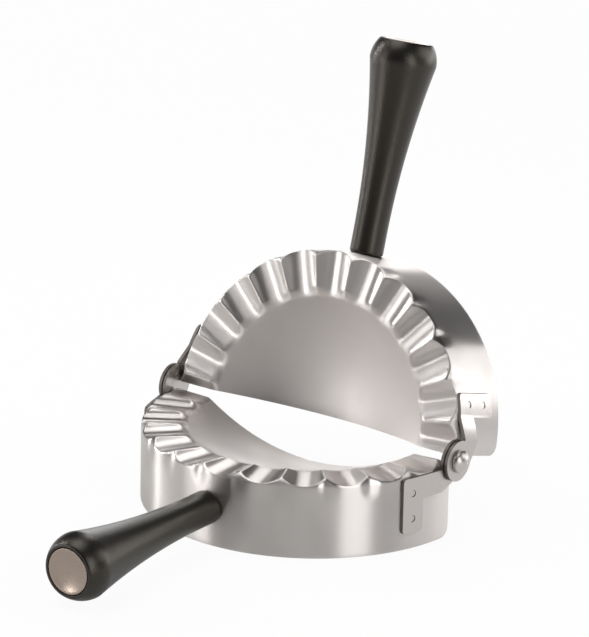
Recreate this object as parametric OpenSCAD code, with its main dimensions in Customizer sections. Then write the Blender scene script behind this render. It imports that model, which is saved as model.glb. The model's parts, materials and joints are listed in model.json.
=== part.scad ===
// Hinged dough press: two identical stamped half shells, each with a handle, riveted
// together at the two ends of their diameter. Millimetres, +Z up.
// One half is modelled lying on its cutting edge with the hinge axis on the X axis and
// the half towards -Y. Both halves are placed from it, so the frame is set at the end.

/* [Ring] */
// Outer diameter of the cutting ring that the two open halves make
ring_d = 125; // [90:1:160]
// Thickness of the stamped sheet
sheet = 0.8; // [0.6:0.1:1.2]
// Height of the hinge axis above the cutting edge
skirt_h = 29.1; // [26:0.1:40]
// Radius of the rounded lower corner at each end of a skirt
corner_r = 4; // [2:0.5:8]
// Distance from the hinge axis back to the centre of each half ring
setback = 1.1; // [0.4:0.1:2]
// How far each half ring is trimmed short of its centre
edge_trim = 0.2; // [0.1:0.05:0.5]

/* [Pocket] */
// Depth of the pocket floor below the hinge axis
pocket_depth = 15; // [10:1:20]
// Width of the crimped sealing flange round the pocket
flange_w = 14; // [11:1:17]
// Radius of the soft shoulder between the flange and the pocket
shoulder_r = 6; // [3:0.5:8]

/* [Crimps] */
// Number of crimps round each half
crimps = 12; // [8:1:16]
// Depth of a crimp's valley below the hinge axis
valley_drop = 1.5; // [1.2:0.1:2.5]
// Height of a crimp's crest above the hinge axis
crest_rise = 1.1; // [0.6:0.1:1.1]
// Radius of the round tool that presses one crimp
crimp_r = 13.5; // [12:0.5:18]
// Radius of the fold from the flange into the skirt
rim_fold_r = 3.5; // [2.5:0.25:4]

/* [Hinge] */
// Diameter of the rivet's shank
pivot_d = 5; // [4:0.5:6]
// Diameter of the rivet's domed head
head_d = 8.6; // [7.6:0.2:10]
// Height of the straight rim round the rivet's head
head_rim = 1.2; // [0.6:0.1:2]
// Height of the dome above the rim
head_dome = 2.4; // [1.5:0.1:3.5]
// Diameter of the round lug at the end of a strap
lug_d = 15.2; // [14:0.2:18]
// Thickness of a hinge strap
strap_t = 1.2; // [1:0.1:1.5]
// Distance from the hinge axis to the far edge of an inner strap's welded leg
leg_far = 25; // [22:0.2:30]
// How much nearer to the hinge axis the welded leg of an outer strap is
leg_near_by = 1.2; // [0:0.1:2]
// Width of the welded leg
leg_w = 8.4; // [7:0.2:10]
// How far the welded leg reaches down the skirt below the hinge axis
leg_drop = 22.8; // [20:0.2:25]
// Height of the strap's arm
arm_h = 8.6; // [7:0.2:11]
// Distance from the hinge axis down to the top edge of the arm
arm_top = 1.5; // [1.25:0.25:3]
// Diameter of a spot weld's dimple
weld_d = 2.6; // [1.6:0.2:3.6]
// Depth of a spot weld's dimple
weld_depth = 0.3; // [0.1:0.05:0.5]
// Distance between the two spot welds of a leg
weld_pitch = 9.7; // [6:0.1:11]
// Distance from the leg's lower end up to its first spot weld
weld_foot = 5.6; // [4:0.2:7]
// Diameter of the rivet's swaged tail at the face of the inner lug
tail_d = 6.6; // [6.2:0.1:7.4]
// Depth of the countersink that takes the tail
tail_h = 0.7; // [0.4:0.1:0.9]
// Distance from the arm's bends to the leg's edge and to the lug's circle
bend_gap = 0.4; // [0.3:0.1:1.5]
// Radius on the free corners of a strap
strap_corner_r = 1.6; // [0.8:0.2:2.4]
// Thickness of the spring washer between the two lugs
washer_t = 0.5; // [0.3:0.1:1]
// Outer diameter of the spring washer
washer_d = 11; // [9:0.5:13]

/* [Handle] */
// Length of the grip from the skirt to its flat end
grip_len = 80.3; // [65:0.1:100]
// Distance from the hinge axis down to the grip's centre line
grip_drop = 14.4; // [13:0.2:17]
// Diameter of the grip where it meets the skirt
grip_root_d = 12.6; // [11.5:0.1:14]
// Largest diameter of the grip, near its end
grip_max_d = 25; // [20:0.5:26]
// Diameter of the flat at the grip's end
grip_end_d = 19.6; // [18.6:0.1:20.4]
// Distance from the flat end to the grip's largest diameter
grip_swell = 7.8; // [5:0.2:9]
// Length of the straight stretch of the grip next to the skirt
grip_straight = 8; // [5:1:30]
// Radius on the edge of the grip at the skirt
grip_root_r = 1.2; // [0.6:0.1:1.6]

/* [End cap] */
// Diameter of the steel disc in the grip's end
cap_d = 17; // [14:0.25:17.5]
// Thickness of the steel disc at its rim
cap_t = 2.1; // [1.5:0.1:3]
// Width of the flat rim round the disc's dished face
cap_rim = 0.6; // [0.4:0.1:1.2]
// Depth of the dished face below the rim
cap_dish = 0.6; // [0.3:0.1:1]
// Width of the open groove round the disc
cap_groove = 0.3; // [0.1:0.05:0.5]
// Diameter of the stem that holds the disc in the grip
stem_d = 6; // [4:0.5:8]
// Length of the stem behind the disc
stem_len = 9; // [6:1:14]

/* [Screw] */
// Diameter of the screw that holds the grip
screw_d = 5; // [4:0.5:5.5]
// Length of the screw under its head
screw_len = 18; // [12:1:24]
// Diameter of the screw's head
screw_head_d = 9; // [8:0.25:10]
// Height of the screw's head
screw_head_h = 3; // [2.5:0.25:4]
// Size across the flats of the screw's hexagon socket
socket_af = 3; // [2.5:0.25:4]
// Depth of the hexagon socket
socket_depth = 1.8; // [1.2:0.1:2.2]
// Outer diameter of the threaded insert in the grip
insert_d = 8; // [7.5:0.25:9]
// Length of the threaded insert
insert_len = 20; // [16:1:26]
// Depth of the insert below the grip's root face
insert_sink = 0.6; // [0.4:0.1:1.5]
// Depth of the waist round the middle of the insert
waist_depth = 0.6; // [0.3:0.1:0.8]
// Width of that waist along the insert
waist_w = 4; // [2:0.5:8]
// Diameter of the saddle washer inside the skirt
saddle_d = 14; // [12:0.5:18]
// Thickness of the saddle washer
saddle_t = 1.2; // [0.8:0.1:2]

/* [Pose] */
// Angle between the two rim planes: 0 is closed and 180 lies flat
opening = 106.5; // [95:0.1:120]

/* [Hidden] */

$fn = 96;
play = 0.05;            // running clearance of a pin, a washer or a pressed piece
lug_clear = 0.3;        // clearance between the ring and the inner lug
ring_r = ring_d / 2;
fine = 0.01;            // makes a shank run just into the next solid
over = 1;               // how far a cut runs past the piece that it cuts
tool_reach = 6;         // how far a crimp tool runs in over the pocket
socket_gap = 1;         // room between the screw's end and the bottom of its hole
taper_power = 2;        // the grip flares as the square of the distance
arm_inset = 0.3;        // how far the arm's lower edge runs inside the lug's circle
steel = [0.78, 0.77, 0.76];
polished = [0.82, 0.81, 0.80];
black = [0.10, 0.10, 0.10];

// Stack of the hinge along X, from the ring outwards: the front half has the inner lugs
inner_x = ring_r + lug_clear;
outer_x = inner_x + strap_t + washer_t + 2 * play;
head_x = outer_x + strap_t + play;

// Pocket, as a sphere that reaches the flange's inner edge at hinge height
pocket_r = ring_r - flange_w;
bowl_r = (pow(pocket_r, 2) + pow(pocket_depth, 2)) / (2 * pocket_depth);
bowl_z = bowl_r - pocket_depth;

// Crimps: the two halves mesh because the pattern stands a quarter pitch off the hinge line
pitch = 180 / crimps;
crimp_z = crimp_r - valley_drop;
crimp_start = pocket_r - tool_reach;

// Grip: the rounded end is an arc through the flat's edge and the largest diameter
swell_rise = (grip_max_d - grip_end_d) / 2;
swell_r = (pow(grip_swell, 2) + pow(swell_rise, 2)) / (2 * swell_rise);
taper_drop = (grip_max_d - grip_root_d) / 2;

// Where the washer inside the skirt begins, along the grip's axis
saddle_x = ring_r - sheet - play - saddle_t;

// Pose and frame: the origin is below the middle of the whole object, on the table
tilt = 180 - opening;
reach_front = setback + ring_r + grip_len;
reach_back = (reach_front - grip_swell) * cos(tilt)
           + (grip_drop + grip_max_d / 2 - swell_r) * sin(tilt) + swell_r;
shift_y = (reach_front - reach_back) / 2;

// Where the lower tangent from point p touches a circle of radius r at the origin
function touch(p, r) =
    let (d2 = p * p)
    (r * r * p + r * sqrt(d2 - r * r) * [-p[1], p[0]]) / d2;

// Where the line through p along the unit vector d leaves a circle of radius r
function leave(p, d, r) = p + d * (sqrt(pow(p * d, 2) - p * p + r * r) - p * d);

// Points of an arc in the plane, n steps from angle a to angle b
function arc(centre, r, a, b, n) =
    [for (i = [0:n]) centre + r * [cos(a + (b - a) * i / n), sin(a + (b - a) * i / n)]];

module front_half() { translate([0, shift_y, skirt_h]) children(); }

module rear_half() {
    translate([0, shift_y, skirt_h]) rotate([tilt, 0, 0]) rotate([0, 0, 180]) children();
}

// Puts what is drawn round the ring's own centre behind the hinge axis
module ring_frame() { translate([0, -setback, 0]) children(); }

// Puts what is drawn along +Z on the axis of the grip, which points away from the hinge
module grip_axis() { ring_frame() translate([0, 0, -grip_drop]) rotate([90, 0, 0]) children(); }

// Shell

// Half the section of the press filled solid. At in = 0 it has the outer face of the
// sheet, and at in = sheet the inner face, so one section makes both faces.
module shell_section(in) {
    fold = [ring_r - rim_fold_r, crest_rise - rim_fold_r];
    shoulder_z = crest_rise - shoulder_r;
    shoulder = [sqrt(pow(bowl_r + shoulder_r, 2) - pow(bowl_z - shoulder_z, 2)), shoulder_z];
    to_bowl = ([0, bowl_z] - shoulder) / (bowl_r + shoulder_r);
    wedge = 1.5 * shoulder_r;
    foot = skirt_h + (in > 0 ? sheet : 0);
    difference() {
        translate([0, -foot]) square([ring_r - in, foot + crest_rise - in]);
        translate([0, bowl_z]) circle(r = bowl_r + in, $fn = 240);
        translate(fold) square(rim_fold_r);
        polygon([shoulder, shoulder + wedge * to_bowl, shoulder + [0, wedge]]);
    }
    translate(fold) circle(r = rim_fold_r - in);
    translate(shoulder) circle(r = shoulder_r - in);
}

// Round tools that lie along the radii and press one crimp each
module crimp_tools(r) {
    for (i = [0:crimps])
        rotate([90, 0, -90 + pitch / 4 + i * pitch])
            translate([0, crimp_z, crimp_start]) cylinder(h = ring_r, r = r);
}

// The press filled solid, up to the outer or the inner face of the sheet
module filled(in) {
    difference() {
        rotate_extrude() shell_section(in);
        crimp_tools(crimp_r + in);
    }
}

module shell() {
    corner_y = -edge_trim - corner_r;
    corner_z = corner_r - skirt_h;
    color(polished) difference() {
        ring_frame() difference() {
            filled(0);
            filled(sheet);
            translate([-ring_r - over, -edge_trim, -skirt_h - over])
                cube([ring_d + 2 * over, ring_d, skirt_h + crest_rise + 2 * over]);
            difference() {
                translate([-ring_r - over, corner_y, -skirt_h - over])
                    cube([ring_d + 2 * over, corner_r + over, corner_r + over]);
                translate([-ring_r - 2 * over, corner_y, corner_z])
                    rotate([0, 90, 0]) cylinder(h = ring_d + 4 * over, r = corner_r);
            }
        }
        grip_axis() translate([0, 0, pocket_r])
            cylinder(h = flange_w + over, d = screw_d + 2 * play);
    }
}

// Hinge

// Side view of a strap, with Y to the right and Z up, seen along -X: a round lug on the
// hinge axis, an arm and a leg with rounded free corners, whose far edge is at far
module strap_outline(far) {
    near = far - leg_w;
    arm_z = -arm_top - arm_h;
    throat = [-lug_d / 2, arm_z];
    r = strap_corner_r;
    circle(d = lug_d);
    polygon([[-near, arm_z], throat, touch(throat, lug_d / 2 - arm_inset),
             [0, -arm_top], [-near, -arm_top]]);
    difference() {
        translate([-far, -leg_drop]) square([leg_w, leg_drop - arm_top]);
        for (c = [[-far, -leg_drop, 0], [-near, -leg_drop, 90], [-far, -arm_top, 270]])
            translate([c[0], c[1]]) rotate(c[2]) difference() {
                translate([-r, -r]) square(2 * r);
                translate([r, r]) circle(r = r);
            }
    }
}

// Plan view of the arm and the lug: a joggle from the ring's wall, which it leaves at
// bend_y, to the lug's own plane
module arm_plan(lug_x, wall, bend_y) {
    centre = [0, -setback];
    start = [sqrt(wall * wall - pow(bend_y - setback, 2)), -bend_y];
    bend = [lug_x, -lug_d / 2 - bend_gap];
    run = (bend - start) / norm(bend - start);
    normal = [run[1], -run[0]];
    lean = atan2(run[0], run[1]);
    outer_start = centre + leave(bend + strap_t * normal - centre, run, wall + strap_t);
    outer_bend = bend + strap_t * [1, -tan(lean / 2)];
    polygon([start, bend, [lug_x, lug_d], [lug_x + strap_t, lug_d],
             outer_bend, outer_start]);
}

// A strap with its lug in the plane at lug_x and its leg's far edge at far; tail is the
// hole's widest diameter on the lug's inner face, where the rivet is swaged
module strap(lug_x, far, tail) {
    wall = ring_r + play;
    bend_y = far - leg_w - bend_gap;
    weld_angle = asin((setback - far + leg_w / 2) / wall);
    color(steel) difference() {
        intersection() {
            rotate([90, 0, 90]) linear_extrude(head_x) strap_outline(far);
            union() {
                difference() {
                    ring_frame() translate([0, 0, -skirt_h])
                        cylinder(h = skirt_h, r = wall + strap_t);
                    ring_frame() translate([0, 0, -skirt_h - over])
                        cylinder(h = skirt_h + 2 * over, r = wall);
                    translate([0, -bend_y, -skirt_h - over])
                        cube([ring_d, ring_d, skirt_h + 2 * over]);
                }
                translate([0, 0, -skirt_h])
                    linear_extrude(skirt_h + lug_d) arm_plan(lug_x, wall, bend_y);
            }
        }
        translate([lug_x - over, 0, 0]) rotate([0, 90, 0])
            cylinder(h = strap_t + 2 * over, d = pivot_d + 2 * play);
        if (tail > pivot_d)
            translate([lug_x - fine, 0, 0]) rotate([0, 90, 0])
                cylinder(h = tail_h + fine, d1 = tail + 2 * play, d2 = pivot_d + 2 * play);
        for (i = [0, 1])
            ring_frame() rotate([0, 0, weld_angle])
                translate([wall + strap_t - weld_depth, 0, -leg_drop + weld_foot + i * weld_pitch])
                    rotate([0, 90, 0])
                        cylinder(h = over, d1 = weld_d - weld_depth, d2 = weld_d + over);
    }
}

// The front half's straps carry the swaged tails of the rivets, and the rear half's
// straps turn outside them
module inner_strap() { strap(inner_x, leg_far, tail_d); }
module outer_strap() { strap(outer_x, leg_far - leg_near_by, 0); }

// Rivet on the X axis: swaged tail, shank and domed head
module hinge_rivet() {
    dome_r = (pow(head_d / 2, 2) + pow(head_dome, 2)) / (2 * head_dome);
    color(polished) {
        translate([inner_x, 0, 0]) rotate([0, 90, 0]) {
            cylinder(h = tail_h, d1 = tail_d, d2 = pivot_d);
            cylinder(h = head_x - inner_x + fine, d = pivot_d);
        }
        translate([head_x, 0, 0]) rotate([0, 90, 0]) rotate_extrude() intersection() {
            translate([0, head_rim + head_dome - dome_r]) circle(r = dome_r);
            square([head_d / 2, head_rim + head_dome]);
        }
    }
}

module hinge_washer() {
    color(steel) translate([inner_x + strap_t + play, 0, 0]) rotate([0, 90, 0]) difference() {
        cylinder(h = washer_t, d = washer_d);
        translate([0, 0, -over]) cylinder(h = washer_t + 2 * over, d = pivot_d + 2 * play);
    }
}

// Handle

// Radius of the grip at a distance s from the skirt, up to its largest diameter
function grip_r(s) =
    let (u = max(0, s - grip_straight) / (grip_len - grip_swell - grip_straight))
    grip_root_d / 2 + taper_drop * pow(u, taper_power);

module grip_section() {
    steps = 14;
    root = grip_root_d / 2 - grip_root_r;
    centre = [grip_max_d / 2 - swell_r, grip_len - grip_swell];
    end_a = asin(grip_swell / swell_r);
    polygon(concat(
        [[0, -sheet], [root, -sheet]],
        arc([root, grip_root_r], grip_root_r, -90, 0, 5),
        [for (i = [0:steps - 1])
            let (s = grip_straight + (grip_len - grip_swell - grip_straight) * i / steps)
            [grip_r(s), s]],
        arc(centre, swell_r, 0, end_a, 8),
        [[0, grip_len]]));
}

module grip() {
    insert_hole = insert_d / 2 + play;
    screw_end = screw_len - saddle_t - sheet + socket_gap;
    seat = grip_len - cap_t - play;
    color(black) difference() {
        grip_axis() translate([0, 0, ring_r]) difference() {
            rotate_extrude() grip_section();
            translate([0, 0, -ring_r]) cylinder(h = ring_r + insert_sink + insert_len, r = insert_hole);
            cylinder(h = screw_end, d = screw_d + 2 * play);
            translate([0, 0, seat]) cylinder(h = cap_t + over, d = cap_d + 2 * cap_groove);
            translate([0, 0, seat - stem_len]) cylinder(h = stem_len + over, d = stem_d + 2 * play);
        }
        ring_frame() translate([0, 0, -ring_d]) cylinder(h = 2 * ring_d, r = ring_r + play);
    }
}

module grip_insert() {
    color("goldenrod") grip_axis() translate([0, 0, ring_r + insert_sink]) difference() {
        cylinder(h = insert_len, d = insert_d);
        translate([0, 0, -over]) cylinder(h = insert_len + 2 * over, d = screw_d + 2 * play);
        translate([0, 0, (insert_len - waist_w) / 2]) difference() {
            cylinder(h = waist_w, d = insert_d + over);
            translate([0, 0, -over]) cylinder(h = waist_w + 2 * over, d = insert_d - 2 * waist_depth);
        }
    }
}

// Steel disc with a dished face and a stem, its rim level with the end of the grip
module end_cap() {
    dish_d = cap_d - 2 * cap_rim;
    dish_r = (pow(dish_d / 2, 2) + pow(cap_dish, 2)) / (2 * cap_dish);
    color(steel) grip_axis() translate([0, 0, ring_r + grip_len]) {
        difference() {
            translate([0, 0, -cap_t]) cylinder(h = cap_t, d = cap_d);
            translate([0, 0, dish_r - cap_dish]) sphere(r = dish_r, $fn = 360);
        }
        translate([0, 0, play - cap_t - stem_len]) cylinder(h = stem_len, d = stem_d);
    }
}

module grip_screw() {
    color(steel) grip_axis() translate([0, 0, saddle_x - play]) difference() {
        union() {
            translate([0, 0, -screw_head_h]) cylinder(h = screw_head_h, d = screw_head_d);
            translate([0, 0, -fine]) cylinder(h = screw_len, d = screw_d);
        }
        translate([0, 0, -screw_head_h - over])
            cylinder(h = socket_depth + over, d = socket_af / cos(30), $fn = 6);
    }
}

// Washer whose outer face follows the inside of the skirt
module saddle_washer() {
    color(steel) intersection() {
        grip_axis() translate([0, 0, saddle_x]) difference() {
            cylinder(h = saddle_t + over, d = saddle_d);
            translate([0, 0, -over]) cylinder(h = saddle_t + 3 * over, d = screw_d + 2 * play);
        }
        ring_frame() translate([0, 0, -ring_d])
            cylinder(h = 2 * ring_d, r = ring_r - sheet - play, $fn = 720);
    }
}

// Nodes

module front_shell() { front_half() shell(); }
module rear_shell() { rear_half() shell(); }
module front_right_strap() { front_half() inner_strap(); }
module front_left_strap() { front_half() mirror([1, 0, 0]) inner_strap(); }
module rear_right_strap() { rear_half() mirror([1, 0, 0]) outer_strap(); }
module rear_left_strap() { rear_half() outer_strap(); }
module right_hinge_rivet() { front_half() hinge_rivet(); }
module left_hinge_rivet() { front_half() mirror([1, 0, 0]) hinge_rivet(); }
module right_hinge_washer() { front_half() hinge_washer(); }
module left_hinge_washer() { front_half() mirror([1, 0, 0]) hinge_washer(); }
module front_grip() { front_half() grip(); }
module rear_grip() { rear_half() grip(); }
module front_end_cap() { front_half() end_cap(); }
module rear_end_cap() { rear_half() end_cap(); }
module front_grip_insert() { front_half() grip_insert(); }
module rear_grip_insert() { rear_half() grip_insert(); }
module front_grip_screw() { front_half() grip_screw(); }
module rear_grip_screw() { rear_half() grip_screw(); }
module front_saddle_washer() { front_half() saddle_washer(); }
module rear_saddle_washer() { rear_half() saddle_washer(); }

front_shell();
rear_shell();
front_right_strap();
front_left_strap();
rear_right_strap();
rear_left_strap();
right_hinge_rivet();
left_hinge_rivet();
right_hinge_washer();
left_hinge_washer();
front_grip();
rear_grip();
front_end_cap();
rear_end_cap();
front_grip_insert();
rear_grip_insert();
front_grip_screw();
rear_grip_screw();
front_saddle_washer();
rear_saddle_washer();
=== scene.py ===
import json
import math
import bmesh
import bpy
from mathutils import Matrix, Quaternion, Vector


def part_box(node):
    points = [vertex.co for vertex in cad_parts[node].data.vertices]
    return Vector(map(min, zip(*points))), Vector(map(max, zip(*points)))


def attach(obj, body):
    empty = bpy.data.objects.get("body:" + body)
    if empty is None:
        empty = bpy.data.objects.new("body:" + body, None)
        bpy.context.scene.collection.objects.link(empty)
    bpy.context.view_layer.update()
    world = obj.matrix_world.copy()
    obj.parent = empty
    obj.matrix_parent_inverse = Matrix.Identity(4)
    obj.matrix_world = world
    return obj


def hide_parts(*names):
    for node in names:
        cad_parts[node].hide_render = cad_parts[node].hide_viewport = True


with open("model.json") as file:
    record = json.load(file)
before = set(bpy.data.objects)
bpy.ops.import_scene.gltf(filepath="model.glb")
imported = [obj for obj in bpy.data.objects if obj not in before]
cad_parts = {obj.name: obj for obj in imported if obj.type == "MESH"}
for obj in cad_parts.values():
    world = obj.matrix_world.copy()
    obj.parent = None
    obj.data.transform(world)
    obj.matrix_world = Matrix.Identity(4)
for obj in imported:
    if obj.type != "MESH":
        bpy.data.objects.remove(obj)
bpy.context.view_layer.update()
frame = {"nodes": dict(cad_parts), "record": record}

mm = 0.001
hinge = frame["record"]["behaviour"]["joints"][0]
pivot = Vector(hinge["pos_m"])
tilt = math.radians(-hinge["range_deg"][0])     # how far the rear half stands up from lying flat
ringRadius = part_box("front_shell")[1][0]        # outside of the skirt
skirtHeight = pivot.z                           # hinge axis above the cutting edge
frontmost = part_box("front_shell")[0][1]
setback = pivot.y - frontmost - ringRadius      # from the hinge axis back to the ring's centre

# each half is made about its ring's centre, at the height of the hinge axis, and then placed
onAxis = Matrix.Translation(pivot)
ringCentre = Matrix.Translation((0, -setback, 0))
turned = Matrix.Rotation(tilt, 4, "X") @ Matrix.Rotation(math.pi, 4, "Z")
halves = {"front": onAxis @ ringCentre, "rear": onAxis @ turned @ ringCentre}


# camera

def placeCamera():
    view = dict(place=(0.96846, -1.31238, 0.64782), yaw=35.87, pitch=19.19, roll=1.20, lens=271.4)
    yaw, pitch, roll = (math.radians(view[k]) for k in ("yaw", "pitch", "roll"))
    forward = Vector((-math.sin(yaw) * math.cos(pitch), math.cos(yaw) * math.cos(pitch), -math.sin(pitch)))
    right = Vector((math.cos(yaw), math.sin(yaw), 0))
    up = right.cross(forward)
    rolledRight = math.cos(roll) * right + math.sin(roll) * up
    rolledUp = math.cos(roll) * up - math.sin(roll) * right
    data = bpy.data.cameras.new("camera")
    data.lens = view["lens"]
    data.sensor_width = 36
    data.clip_end = 20
    camera = bpy.data.objects.new("camera", data)
    bpy.context.scene.collection.objects.link(camera)
    turn = Matrix((rolledRight, rolledUp, -forward)).transposed().to_4x4()
    camera.matrix_world = Matrix.Translation(view["place"]) @ turn
    bpy.context.scene.camera = camera


placeCamera()
print("camera placed")


# small helpers for colours, nodes and meshes

def hexColour(text):
    parts = [int(text[i:i + 2], 16) / 255 for i in (1, 3, 5)]
    linear = [c / 12.92 if c <= 0.04045 else ((c + 0.055) / 1.055) ** 2.4 for c in parts]
    return (*linear, 1.0)


def addNode(tree, kind, links=None, **settings):
    node = tree.nodes.new(kind)
    for name, value in settings.items():
        if name in node.inputs:
            node.inputs[name].default_value = value
        else:
            setattr(node, name, value)
    for socket, source in (links or {}).items():
        tree.links.new(source, node.inputs[socket])
    return node


def newMaterial(name):
    material = bpy.data.materials.new(name)
    material.use_nodes = True
    tree = material.node_tree
    tree.nodes.clear()
    return material, tree


def finishMaterial(tree, shader):
    addNode(tree, "ShaderNodeOutputMaterial", {"Surface": shader.outputs[0]})


def makeObject(name, bm, material, body, *replaced, modifiers=()):
    mesh = bpy.data.meshes.new(name)
    bm.to_mesh(mesh)
    bm.free()
    piece = bpy.data.objects.new(name, mesh)
    bpy.context.scene.collection.objects.link(piece)
    mesh.materials.append(material)
    for polygon in mesh.polygons:
        polygon.use_smooth = True
    for kind, settings in modifiers:
        modifier = piece.modifiers.new(kind.lower(), kind)
        for key, value in settings.items():
            setattr(modifier, key, value)
    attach(piece, body)
    if replaced:
        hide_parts(*replaced)
    return piece


def smoothStep(low, high, value):
    t = min(1, max(0, (value - low) / (high - low)))
    return t * t * (3 - 2 * t)


def softMin(a, b, k):
    h = max(k - abs(a - b), 0) / k
    return min(a, b) - h * h * k / 4


def arcPoints(centre, radius, start, end, steps):
    turn = math.radians(end - start) / steps
    angles = [math.radians(start) + turn * i for i in range(steps + 1)]
    return [(centre[0] + radius * math.cos(a), centre[1] + radius * math.sin(a)) for a in angles]


def brokenEdge(width, degrees):
    # settings of a bevel that breaks every edge sharper than this angle
    return dict(width=width, segments=2, limit_method="ANGLE", angle_limit=math.radians(degrees))


# materials

def patchyRoughness(tree, pattern, low, high):
    # a roughness between low and high that follows a noise, whose values crowd round 0.5
    spread = {"From Min": 0.3, "From Max": 0.7, "To Min": low, "To Max": high}
    node = addNode(tree, "ShaderNodeMapRange", {"Value": pattern.outputs["Fac"]}, **spread)
    return node.outputs["Result"]


def stainlessSheet(name, roughness, anisotropic):
    # stainless steel sheet, its brush lines running round the ring
    s = dict(colour="#C9C4C1", patch=16.7 * mm,
             along=33.3 * mm, across=0.25 * mm,      # length and spacing of the lines
             bump=0.06, depth=0.1 * mm)
    material, tree = newMaterial(name)
    place = addNode(tree, "ShaderNodeTexCoord").outputs["Object"]
    uv = addNode(tree, "ShaderNodeUVMap", uv_map="brush").outputs["UV"]
    density = (1 / s["along"], 1 / s["across"], 1.0)
    lines = addNode(tree, "ShaderNodeMapping", {"Vector": uv}, Scale=density)
    brush = addNode(tree, "ShaderNodeTexNoise", {"Vector": lines.outputs[0]}, Scale=1.0, Detail=3.0)
    cloud = addNode(tree, "ShaderNodeTexNoise", {"Vector": place}, Scale=1 / s["patch"], Detail=4.0)
    bump = addNode(tree, "ShaderNodeBump", {"Height": brush.outputs["Fac"]},
                   Strength=s["bump"], Distance=s["depth"])
    tangent = addNode(tree, "ShaderNodeTangent", direction_type="UV_MAP", uv_map="brush")
    shader = addNode(tree, "ShaderNodeBsdfPrincipled",
                     {"Roughness": patchyRoughness(tree, cloud, roughness - 0.04, roughness + 0.05),
                      "Normal": bump.outputs[0], "Tangent": tangent.outputs[0]},
                     **{"Base Color": hexColour(s["colour"]), "Metallic": 1.0,
                        "Anisotropic": anisotropic,
                        "Anisotropic Rotation": 0.25})      # a quarter turn, across the brush lines
    finishMaterial(tree, shader)
    return material


def stainlessPart(name, roughness, colour="#B7B2AF"):
    # a small stainless steel part, its shine the same in every direction
    s = dict(grain=0.4 * mm, patch=4 * mm, bump=0.015, depth=0.1 * mm)
    material, tree = newMaterial(name)
    place = addNode(tree, "ShaderNodeTexCoord").outputs["Object"]
    grit = addNode(tree, "ShaderNodeTexNoise", {"Vector": place}, Scale=1 / s["grain"], Detail=3.0)
    cloud = addNode(tree, "ShaderNodeTexNoise", {"Vector": place}, Scale=1 / s["patch"], Detail=3.0)
    bump = addNode(tree, "ShaderNodeBump", {"Height": grit.outputs["Fac"]},
                   Strength=s["bump"], Distance=s["depth"])
    shader = addNode(tree, "ShaderNodeBsdfPrincipled",
                     {"Roughness": patchyRoughness(tree, cloud, roughness - 0.05, roughness + 0.06),
                      "Normal": bump.outputs[0]},
                     **{"Base Color": hexColour(colour), "Metallic": 1.0})
    finishMaterial(tree, shader)
    return material


def mouldedPlastic(name):
    # heat-proof plastic with the fine grain of its spark-eroded mould
    # its highlight colour is painted light: a warm tint on all its reflections, standing in for a warm
    # lamp
    s = dict(colour="#0D0C0A", highlight="#FFF4E6", ior=1.52, roughness=0.31, grain=0.35 * mm,
             bump=0.25, depth=0.1 * mm)
    rough = s["roughness"]
    material, tree = newMaterial(name)
    place = addNode(tree, "ShaderNodeTexCoord").outputs["Object"]
    pits = addNode(tree, "ShaderNodeTexVoronoi", {"Vector": place}, Scale=1 / s["grain"])
    fine = addNode(tree, "ShaderNodeTexNoise", {"Vector": place}, Scale=2 / s["grain"], Detail=2.0)
    height = addNode(tree, "ShaderNodeMath", {0: pits.outputs["Distance"], 1: fine.outputs["Fac"]},
                     operation="ADD")
    bump = addNode(tree, "ShaderNodeBump", {"Height": height.outputs[0]},
                   Strength=s["bump"], Distance=s["depth"])
    shader = addNode(tree, "ShaderNodeBsdfPrincipled",
                     {"Roughness": patchyRoughness(tree, fine, rough - 0.05, rough + 0.05),
                      "Normal": bump.outputs[0]},
                     **{"Base Color": hexColour(s["colour"]), "IOR": s["ior"],
                        "Specular Tint": hexColour(s["highlight"])})
    finishMaterial(tree, shader)
    return material


def turnedBrass(name):
    # brass from the lathe, slightly dulled in patches
    s = dict(colour="#B8904A", roughness=0.3, patch=2.5 * mm)
    material, tree = newMaterial(name)
    place = addNode(tree, "ShaderNodeTexCoord").outputs["Object"]
    cloud = addNode(tree, "ShaderNodeTexNoise", {"Vector": place}, Scale=1 / s["patch"], Detail=3.0)
    rough = addNode(tree, "ShaderNodeMapRange", {"Value": cloud.outputs["Fac"]},
                    **{"To Min": s["roughness"] - 0.08, "To Max": s["roughness"] + 0.08})
    shader = addNode(tree, "ShaderNodeBsdfPrincipled", {"Roughness": rough.outputs["Result"]},
                     **{"Base Color": hexColour(s["colour"]), "Metallic": 1.0})
    finishMaterial(tree, shader)
    return material


# skirt and crimps, satin-polished round the ring, so that reflections smear up and down
sheetSteel = stainlessSheet("satin_polished_stainless_sheet", roughness=0.32, anisotropic=1.0)
# the bowl keeps the dull drawn surface, a soft grey without streaks
pocketSteel = stainlessSheet("deep_drawn_stainless_pocket", roughness=0.46, anisotropic=0.0)
# straps, washers and screws, tumbled, a soft even shine with bright rims
strapSteel = stainlessPart("tumbled_stainless_strip", roughness=0.3)
# the straps' cut faces, duller, with painted shade in their dark colour, which outlines them on the skirt
cutSteelPaintedShade = stainlessPart("sheared_stainless_edge_painted_shade", roughness=0.45, colour="#6A6460")
# domed heads, with a blurred highlight
rivetSteel = stainlessPart("headed_stainless_rivet", roughness=0.34)
# the discs in the handles' ends, warmer than the sheet, their colour darkened as painted shade
capSteelPaintedShade = stainlessPart("stainless_disc_painted_shade", roughness=0.28, colour="#9C8E84")
# the grips, black with a broad soft sheen
blackPlastic = mouldedPlastic("moulded_black_phenolic")
# the inserts inside the grips, a soft yellow
insertBrass = turnedBrass("turned_brass")
print("materials made")


# shells

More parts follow.
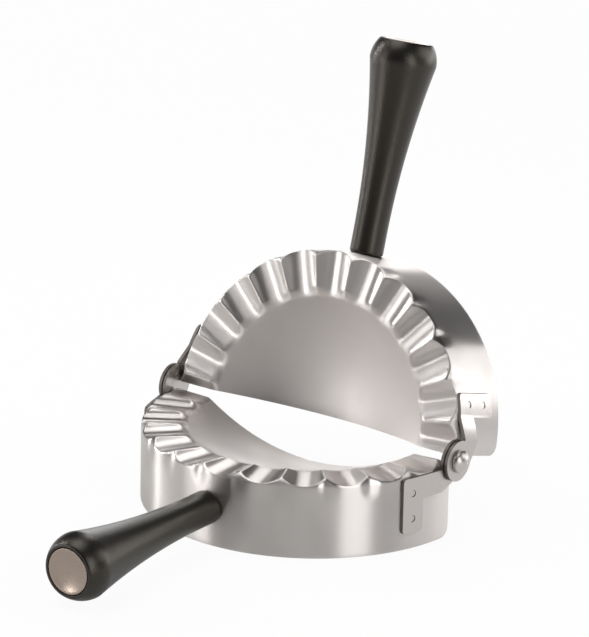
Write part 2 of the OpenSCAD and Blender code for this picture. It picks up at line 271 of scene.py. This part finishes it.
shell = dict(sheet=0.8 * mm, pocketDepth=15 * mm, flange=14 * mm, shoulder=6 * mm, fold=3.5 * mm,
             corner=4 * mm,                    # rounds the skirt's two lower corners
             trim=0.2 * mm,                    # from the ring's middle to each half's straight edge
             crimps=12, valley=1.5 * mm, crest=1.1 * mm, tool=13.5 * mm,
             blend=0.5 * mm,                   # how softly the sheet follows the tools
             pinch=0.5 * mm,                   # how far a crest is drawn in at the fold
             pinchDepth=9 * mm,                # how far below the hinge axis that begins to show
             pinchWhole=1 * mm,                # and how far below it that is whole
             pinchReach=6 * mm,                # how far in over the flange it shows
             pinchShare=0.17,                  # its width, of the pitch
             plain=0.6,                        # share of the ring's radius that no tool touches
             brushed=46 * mm,                  # how far up from the cutting edge the brushing goes
             steps=432, edge=0.15 * mm)


def shellProfile(s):
    # outer face from the cutting edge, up the skirt, over the flange and down to the pocket's centre
    pocketRadius = ringRadius - s["flange"]
    bowl = (pocketRadius ** 2 + s["pocketDepth"] ** 2) / (2 * s["pocketDepth"])
    bowlCentre = bowl - s["pocketDepth"]
    shoulderZ = s["crest"] - s["shoulder"]
    shoulderR = math.sqrt((bowl + s["shoulder"]) ** 2 - (bowlCentre - shoulderZ) ** 2)
    lean = math.degrees(math.atan2(bowlCentre - shoulderZ, -shoulderR))
    foldCentre = (ringRadius - s["fold"], s["crest"] - s["fold"])
    wallHeight = skirtHeight + foldCentre[1]
    flatWidth = foldCentre[0] - shoulderR
    wall = [(ringRadius, wallHeight * i / 18 - skirtHeight) for i in range(18)]
    fold = arcPoints(foldCentre, s["fold"], 0, 90, 12)
    flat = [(foldCentre[0] - flatWidth * i / 8, s["crest"]) for i in range(1, 8)]
    shoulder = arcPoints((shoulderR, shoulderZ), s["shoulder"], 90, lean, 10)
    pocket = arcPoints((0, bowlCentre), bowl, lean - 180, -90, 26)[1:]
    return wall + fold + flat + shoulder + pocket


def toolHeight(s, radius, angle, pitch, first):
    # the lowest of the round tools above this spot, one tool for each crimp
    nearest = round((angle - first) / pitch)
    heights = []
    for i in (nearest - 1, nearest, nearest + 1):
        side = radius * math.sin(angle - first - i * pitch)
        across = max(0, s["tool"] ** 2 - side ** 2)
        heights.append(s["tool"] - s["valley"] - math.sqrt(across))
    heights.sort()
    return softMin(heights[0], heights[1], s["blend"])


def stamp(s, vert):
    # moves a vertex of the plain turned shell to where the press tools leave it
    radius = math.hypot(vert.co.x, vert.co.y)
    if radius < s["plain"] * ringRadius:
        return
    pitch = math.pi / s["crimps"]
    first = pitch / 4 - math.pi / 2     # a quarter pitch off, so that the two halves mesh
    angle = math.atan2(vert.co.x, -vert.co.y)
    z = softMin(vert.co.z, toolHeight(s, radius, angle, pitch, first), s["blend"])
    fromCrest = (angle - first) / pitch % 1 - 0.5
    crest = math.exp(-(fromCrest / s["pinchShare"]) ** 2)
    drawn = smoothStep(-s["pinchDepth"], -s["pinchWhole"], vert.co.z)
    drawn *= smoothStep(ringRadius - s["pinchReach"], ringRadius, radius)
    scale = 1 - s["pinch"] * crest * drawn / radius
    vert.co = Vector((vert.co.x * scale, vert.co.y * scale, z))


def addBrushMap(bm, length):
    # a flat map of the turned sheet: across is the way round, up is the way along the profile
    layer = bm.loops.layers.uv.new("brush")
    for face in bm.faces:
        for loop in face.loops:
            angle, along = length[loop.vert.index]
            loop[layer].uv = (angle * ringRadius, along)
        lowest = min(length[vert.index][1] for vert in face.verts)
        face.material_index = lowest > shell["brushed"]     # 1 is the pocket


def cutAway(bm, point, outward):
    # drops all of the mesh that lies outward of the point
    everything = bm.verts[:] + bm.edges[:] + bm.faces[:]
    bmesh.ops.bisect_plane(bm, geom=everything, plane_co=point, plane_no=outward, clear_outer=True)


def flatPlaces(bm, points):
    # for each vertex, its angle round the ring and its way along the profile from the cutting edge
    travelled = [0]
    for before, after in zip(points, points[1:]):
        travelled.append(travelled[-1] + math.dist(before, after))
    known = {}
    places = {}
    bm.verts.index_update()
    for vert in bm.verts:
        here = (round(vert.co.xy.length, 6), round(vert.co.z, 6))
        if here not in known:
            nearest = min(range(len(points)), key=lambda i: math.dist(points[i], here))
            known[here] = travelled[nearest]
        places[vert.index] = (math.atan2(vert.co.x, -vert.co.y), known[here])
    return places


def makeShell(side):
    s = shell
    bm = bmesh.new()
    points = shellProfile(s)
    verts = [bm.verts.new((0, -r, z)) for r, z in points]
    edges = [bm.edges.new(pair) for pair in zip(verts, verts[1:])]
    bmesh.ops.rotate(bm, verts=verts, cent=(0, 0, 0), matrix=Matrix.Rotation(-math.pi / 2, 3, "Z"))
    bmesh.ops.spin(bm, geom=verts + edges, cent=(0, 0, 0), axis=(0, 0, 1), angle=math.pi,
                   steps=s["steps"], use_merge=False)
    bmesh.ops.remove_doubles(bm, verts=bm.verts, dist=0.001 * mm)
    bmesh.ops.recalc_face_normals(bm, faces=bm.faces)
    pocketFace = min(bm.faces, key=lambda face: face.calc_center_median().xy.length)
    if pocketFace.normal.z < 0:
        bmesh.ops.reverse_faces(bm, faces=bm.faces)
    addBrushMap(bm, flatPlaces(bm, points))
    for vert in bm.verts:
        stamp(s, vert)
    cutAway(bm, Vector((0, -s["trim"], 0)), Vector((0, 1, 0)))
    centre = Vector((0, -s["trim"] - s["corner"], s["corner"] - skirtHeight))
    for degrees in range(5, 90, 10):      # the lower corners, rounded in short cuts
        a = math.radians(degrees)
        outward = Vector((0, math.sin(a), -math.cos(a)))
        cutAway(bm, centre + outward * s["corner"], outward)
    bm.transform(halves[side])
    body, node = side + "_half", side + "_shell"
    piece = makeObject(side + "_pressed_shell", bm, sheetSteel, body, node, modifiers=[
        ("SOLIDIFY", dict(thickness=s["sheet"], offset=-1)),
        ("BEVEL", brokenEdge(s["edge"], 50)),
    ])
    piece.data.materials.append(pocketSteel)


for side in halves:
    makeShell(side)
print("shells pressed")


# grips

grip = dict(length=80.3 * mm,                # from the skirt
            drop=14.4 * mm,                  # its middle, below the hinge axis
            root=12.6 * mm, widest=25 * mm, end=19.6 * mm,      # diameters
            straight=8 * mm, swell=7.8 * mm,                    # lengths of the root and the swell
            rootRound=1.2 * mm,
            power=2, taperSteps=30,          # the taper widens as a parabola
            recess=17.6 * mm, recessDepth=2.15 * mm, lip=0.3 * mm,
            seat=0.05 * mm,                  # clear of the skirt
            saddle=(1 * mm, 5 * mm),         # the root's end follows the round skirt, fading out here
            steps=96)


def spun(points, steps):
    # a closed turned piece: points are (radius, height), first and last on the axis
    bm = bmesh.new()
    verts = [bm.verts.new((r, 0, z)) for r, z in points]
    edges = [bm.edges.new(pair) for pair in zip(verts, verts[1:])]
    bmesh.ops.spin(bm, geom=verts + edges, cent=(0, 0, 0), axis=(0, 0, 1), angle=2 * math.pi,
                   steps=steps, use_merge=True)
    bmesh.ops.remove_doubles(bm, verts=bm.verts, dist=0.001 * mm)
    bmesh.ops.recalc_face_normals(bm, faces=bm.faces)
    return bm


def gripPlace(side, drop):
    # turns +Z into the handle's own direction, away from the hinge
    return halves[side] @ Matrix.Translation((0, 0, -drop)) @ Matrix.Rotation(math.pi / 2, 4, "X")


def makeGrip(side):
    g = grip
    length = g["length"] - g["seat"]
    tapered = length - g["swell"] - g["straight"]
    rise = (g["widest"] - g["end"]) / 2
    swellRadius = (g["swell"] ** 2 + rise ** 2) / (2 * rise)
    endAngle = math.degrees(math.asin(g["swell"] / swellRadius))
    rootRadius = g["root"] / 2
    grow = (g["widest"] - g["root"]) / 2
    rootCentre = (rootRadius - g["rootRound"], g["rootRound"])
    swellCentre = (g["widest"] / 2 - swellRadius, length - g["swell"])
    lipCentre = (g["recess"] / 2 + g["lip"], length - g["lip"])
    points = [(0, 0)]
    points += arcPoints(rootCentre, g["rootRound"], -90, 0, 5)
    points += [(rootRadius, g["straight"] * k) for k in (0.25, 0.5, 0.75)]
    for i in range(g["taperSteps"]):
        share = i / g["taperSteps"]
        points.append((rootRadius + grow * share ** g["power"], g["straight"] + tapered * share))
    points += arcPoints(swellCentre, swellRadius, 0, endAngle, 12)
    points += arcPoints(lipCentre, g["lip"], 90, 180, 4)
    points += [(g["recess"] / 2, length - g["recessDepth"]), (0, length - g["recessDepth"])]
    bm = spun(points, g["steps"])
    for vert in bm.verts:
        sag = math.sqrt(ringRadius ** 2 - vert.co.x ** 2) - ringRadius
        follows = 1 - smoothStep(*g["saddle"], vert.co.z)
        vert.co.z += ringRadius + g["seat"] + sag * follows
    bm.transform(gripPlace(side, g["drop"]))
    makeObject(side + "_handle_grip", bm, blackPlastic, side + "_half", side + "_grip")


cap = dict(width=17 * mm, thick=2.1 * mm, round=0.2 * mm,
           rim=0.6 * mm, dish=1.1 * mm,      # flat rim, and how deep the face is dished inside it
           stem=6 * mm, stemLength=9 * mm, steps=96)


def makeCap(side):
    c = cap
    top = ringRadius + grip["length"]
    dishEdge = c["width"] / 2 - c["rim"]
    dishRadius = (dishEdge ** 2 + c["dish"] ** 2) / (2 * c["dish"])
    sweep = math.degrees(math.asin(dishEdge / dishRadius))
    under = top - c["thick"]
    stemEnd = under - c["stemLength"]
    points = [(0, stemEnd), (c["stem"] / 2, stemEnd), (c["stem"] / 2, under), (c["width"] / 2, under)]
    points += arcPoints((c["width"] / 2 - c["round"], top - c["round"]), c["round"], 0, 90, 4)
    points += arcPoints((0, top + dishRadius - c["dish"]), dishRadius, sweep - 90, -90, 12)
    bm = spun(points, c["steps"])
    bm.transform(gripPlace(side, grip["drop"]))
    makeObject(side + "_steel_disc", bm, capSteelPaintedShade, side + "_half", side + "_end_cap")


for side in halves:
    makeGrip(side)
    makeCap(side)
print("grips moulded")


# straps, rivets and small hardware

def dressNode(name, material, body, edge, paintedShadeEdgeMaterial=None):
    # the node's own mesh, merged, with its sharp edges broken as tumbling leaves them
    bm = bmesh.new()
    bm.from_mesh(frame["nodes"][name].data)
    bmesh.ops.remove_doubles(bm, verts=bm.verts, dist=0.002 * mm)
    bmesh.ops.dissolve_limit(bm, angle_limit=math.radians(0.5), verts=bm.verts, edges=bm.edges)
    # the faces left by the shears take the second material, whose dark colour is painted shade
    if paintedShadeEdgeMaterial:
        bm.normal_update()
        broad = max(bm.faces, key=lambda face: face.calc_area()).normal.copy()
        for face in bm.faces:
            face.material_index = abs(face.normal.dot(broad)) < 0.5      # edges left by the shears
    piece = makeObject(name + "_finished", bm, material, body, name, modifiers=[
        ("BEVEL", brokenEdge(edge, 35)),
        ("WEIGHTED_NORMAL", dict(keep_sharp=True)),
    ])
    if paintedShadeEdgeMaterial:
        piece.data.materials.append(paintedShadeEdgeMaterial)


broken = dict(strap=0.15 * mm, rivet=0.15 * mm, small=0.08 * mm)      # width of the broken edges

for side in halves:
    body = side + "_half"
    for end in ("right", "left"):
        dressNode(side + "_" + end + "_strap", strapSteel, body, broken["strap"], cutSteelPaintedShade)
    dressNode(side + "_saddle_washer", strapSteel, body, broken["small"])
    dressNode(side + "_grip_screw", strapSteel, body, broken["small"])
    dressNode(side + "_grip_insert", insertBrass, body, broken["small"])
for end in ("right", "left"):        # swaged against the front half's straps, so they ride with it
    dressNode(end + "_hinge_rivet", rivetSteel, "front_half", broken["rivet"])
    dressNode(end + "_hinge_washer", strapSteel, "front_half", broken["small"])
print("hardware finished")


# floor, background and lamps

def combine(tree, operation, first, second):
    return addNode(tree, "ShaderNodeMath", {0: first, 1: second}, operation=operation).outputs[0]


def lookedAt(tree, ray):
    # 1 where the eye looks straight or through something clear
    return combine(tree, "MAXIMUM", ray.outputs["Is Camera Ray"], ray.outputs["Is Transmission Ray"])


def mixShaders(tree, share, first, second):
    links = {0: share, 1: first.outputs[0], 2: second.outputs[0]}
    return addNode(tree, "ShaderNodeMixShader", links)


def makeFloor():
    floor = dict(size=6.0, colour="#CFCFCD",
                 whiteness=0.94,            # of what looks at it, straight or in metal
                 shadedSide=0.2,            # share of that in metal, at the front left
                 shade=(-0.06, 0.08),       # where that share begins to grow and where it is whole
                 towards=(0.5, 1, 0))       # it grows towards the back and the right
    bm = bmesh.new()
    bmesh.ops.create_grid(bm, x_segments=1, y_segments=1, size=floor["size"] / 2)
    mesh = bpy.data.meshes.new("floor")
    bm.to_mesh(mesh)
    bm.free()
    plane = bpy.data.objects.new("floor", mesh)
    bpy.context.scene.collection.objects.link(plane)
    # diffuse light falls on grey paper, and what looks at it straight sees an even white; in metal it
    # shows painted shade at the front left, which fades out towards the back and the right
    material, tree = newMaterial("matt_white_paper")
    ray = addNode(tree, "ShaderNodeLightPath")
    place = addNode(tree, "ShaderNodeTexCoord").outputs["Object"]
    depth = addNode(tree, "ShaderNodeVectorMath", {0: place}, operation="DOT_PRODUCT")
    depth.inputs[1].default_value = floor["towards"]
    fade = addNode(tree, "ShaderNodeMapRange", {"Value": depth.outputs["Value"]},
                   **{"From Min": floor["shade"][0], "From Max": floor["shade"][1],
                      "To Min": floor["shadedSide"], "To Max": 1.0})
    glossy = combine(tree, "MULTIPLY", ray.outputs["Is Glossy Ray"], fade.outputs[0])
    seen = combine(tree, "MAXIMUM", lookedAt(tree, ray), glossy)
    share = addNode(tree, "ShaderNodeMath", {0: seen}, operation="MULTIPLY")
    share.inputs[1].default_value = floor["whiteness"]
    paper = addNode(tree, "ShaderNodeBsdfDiffuse", Color=hexColour(floor["colour"]))
    glow = addNode(tree, "ShaderNodeEmission", Color=(1, 1, 1, 1), Strength=1.0)
    finishMaterial(tree, mixShaders(tree, share.outputs[0], paper, glow))
    mesh.materials.append(material)


def makeWorld():
    studio = dict(wall=0.1,        # up to this slope the white horizon fades
                  dim=0.06, fill=0.5)
    world = bpy.data.worlds.new("studio")
    bpy.context.scene.world = world
    world.use_nodes = True
    tree = world.node_tree
    tree.nodes.clear()
    # looked at it is white, metal sees a white horizon under a dim room, and all else gets a soft fill
    ray = addNode(tree, "ShaderNodeLightPath")
    way = addNode(tree, "ShaderNodeTexCoord").outputs["Generated"]
    height = addNode(tree, "ShaderNodeSeparateXYZ", {0: way}).outputs["Z"]
    wall = addNode(tree, "ShaderNodeMapRange", {"Value": height},
                   **{"From Min": 0.0, "From Max": studio["wall"], "To Min": 1.0, "To Max": studio["dim"]})
    white = addNode(tree, "ShaderNodeBackground", Color=(1, 1, 1, 1), Strength=1.0)
    room = addNode(tree, "ShaderNodeBackground", {"Strength": wall.outputs["Result"]}, Color=(1, 1, 1, 1))
    fill = addNode(tree, "ShaderNodeBackground", Color=(1, 1, 1, 1), Strength=studio["fill"])
    mirrored = mixShaders(tree, ray.outputs["Is Glossy Ray"], fill, room)
    seen = mixShaders(tree, lookedAt(tree, ray), mirrored, white)
    addNode(tree, "ShaderNodeOutputWorld", {"Surface": seen.outputs[0]})


lampAim = Vector((0, 0, 60 * mm))       # amid the press


def addSoftbox(name, bearing, height, distance, size, brightness, roll=0):
    # bearing in degrees from the front (-Y) towards the right (+X), as seen from above;
    # height, distance and size in metres, and a roll in degrees about the lamp's own beam
    turn = math.radians(bearing)
    place = Vector((math.sin(turn) * distance, -math.cos(turn) * distance, height))
    data = bpy.data.lights.new(name, "AREA")
    data.shape = "RECTANGLE"
    data.size, data.size_y = size
    data.energy = brightness * math.pi * size[0] * size[1]
    lamp = bpy.data.objects.new(name, data)
    lamp.location = place
    aim = (lampAim - place).to_track_quat("-Z", "Y")
    lamp.rotation_euler = (aim @ Quaternion((0, 0, 1), math.radians(roll))).to_euler()
    lamp.visible_camera = False
    bpy.context.scene.collection.objects.link(lamp)


makeFloor()
makeWorld()
# name, bearing, height, distance, (width, height), brightness
addSoftbox("overhead_softbox", -60, 1.5, 0.35, (1.0, 1.0), 3.0)
addSoftbox("left_strip", -84, 0.5, 1.2, (0.09, 1.0), 21.0)
addSoftbox("left_panel", -46, 0.5, 1.3, (0.36, 1.0), 3.5)
addSoftbox("right_panel", 68, 0.5, 1.3, (0.48, 1.0), 4.1)
addSoftbox("right_back_softbox", 136, 0.52, 1.31, (1.5, 0.68), 2.3, roll=-38)
addSoftbox("left_back_softbox", -149, 0.3, 1.3, (0.49, 0.6), 2.3)
addSoftbox("near_back_softbox", -152, 0.31, 0.24, (0.14, 0.16), 3.8)
addSoftbox("back_panel", 163, 0.13, 1.4, (2.2, 0.24), 1.4)
addSoftbox("low_card", -36, 0.04, 1.2, (0.2, 0.08), 17.0)
bpy.context.scene.view_settings.view_transform = "Standard"
print("studio lit")
